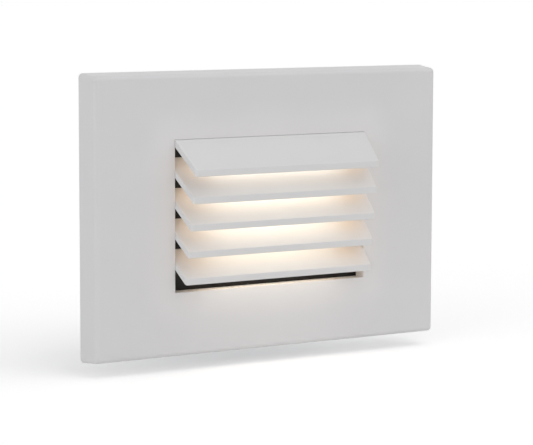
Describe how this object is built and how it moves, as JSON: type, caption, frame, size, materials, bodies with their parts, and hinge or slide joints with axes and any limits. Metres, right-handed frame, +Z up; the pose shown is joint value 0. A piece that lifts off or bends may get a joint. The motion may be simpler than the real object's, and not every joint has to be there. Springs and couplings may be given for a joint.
{
  "type": "step light",
  "caption": "Recessed wall step light: rectangular white faceplate with a downward louvre, LED light box behind it and a bracket for a wall box",
  "frame": {"origin": "on the wall's surface, midway between the two screws of the wall box", "axes": "+Z up, +X to the right for someone who faces the light, +Y into the wall, so the faceplate looks towards -Y"},
  "size_m": [0.127, 0.0637, 0.0888],
  "materials": {
    "plate_paint": "smooth satin white powder coat on a die-cast plate",
    "blade_paint": "smooth satin white powder coat on formed aluminium blades",
    "black_frame": "matt black coat on pressed steel",
    "silicone": "translucent grey silicone, moulded",
    "frosted_lens": "frosted diffusing pane",
    "white_reflector": "moulded white plastic, semi-gloss",
    "white_board": "white solder mask on a metal-core board",
    "led_phosphor": "white packages filled with yellow phosphor",
    "zinc_screws": "bright zinc plate",
    "thermal_silicone": "soft grey gap filler",
    "cast_housing": "die-cast, tumbled, uncoated",
    "lead_insulation": "extruded lead insulation",
    "tray_film": "thin formed insulating plastic",
    "green_board": "green solder mask on glass epoxy",
    "transformer_tape": "dark ferrite core with yellow tape round the winding",
    "capacitor_sleeve": "dark shrink sleeve on an aluminium can",
    "film_capacitor": "yellow moulded case",
    "black_component": "black moulded epoxy",
    "ferrite": "ferrite drum with a copper winding",
    "fuse_glass": "glass tube with nickel end caps",
    "cover_sheet": "rolled sheet, blanked",
    "black_rubber": "moulded rubber",
    "zinc_sheet": "pressed steel sheet, zinc plated",
    "green_screw": "green dyed earth screw",
    "stainless_screw": "stainless steel",
    "foam": "closed-cell foam strip"
  },
  "bodies": {
    "bracket": {"mounting_bracket": "zinc_sheet", "box_screws": "zinc_screws", "ground_screw": "green_screw"},
    "light": {"faceplate": "plate_paint", "louvre_blade_1": "blade_paint", "louvre_blade_2": "blade_paint", "louvre_blade_3": "blade_paint", "louvre_blade_4": "blade_paint", "louvre_blade_5": "blade_paint", "louvre_frame": "black_frame", "lens_gasket": "silicone", "lens": "frosted_lens", "reflector": "white_reflector", "led_board": "white_board", "led_chips": "led_phosphor", "led_board_screws": "zinc_screws", "thermal_pad": "thermal_silicone", "housing": "cast_housing", "housing_screws": "zinc_screws", "led_leads": "lead_insulation", "driver_tray": "tray_film", "driver_board": "green_board", "transformer": "transformer_tape", "smoothing_capacitors": "capacitor_sleeve", "line_capacitor": "film_capacitor", "bridge_rectifier": "black_component", "control_chip": "black_component", "line_choke": "ferrite", "fuse": "fuse_glass", "driver_screws": "zinc_screws", "cover_gasket": "silicone", "rear_cover": "cover_sheet", "cover_screws": "zinc_screws", "cable_grommet": "black_rubber", "set_screws": "stainless_screw", "wall_gasket": "foam"}
  },
  "joints": [
    {"name": "light_pull", "type": "slide", "parent": "bracket", "child": "light", "axis": [0, -1, 0], "range_m": [0, 0.05]}
  ]
}
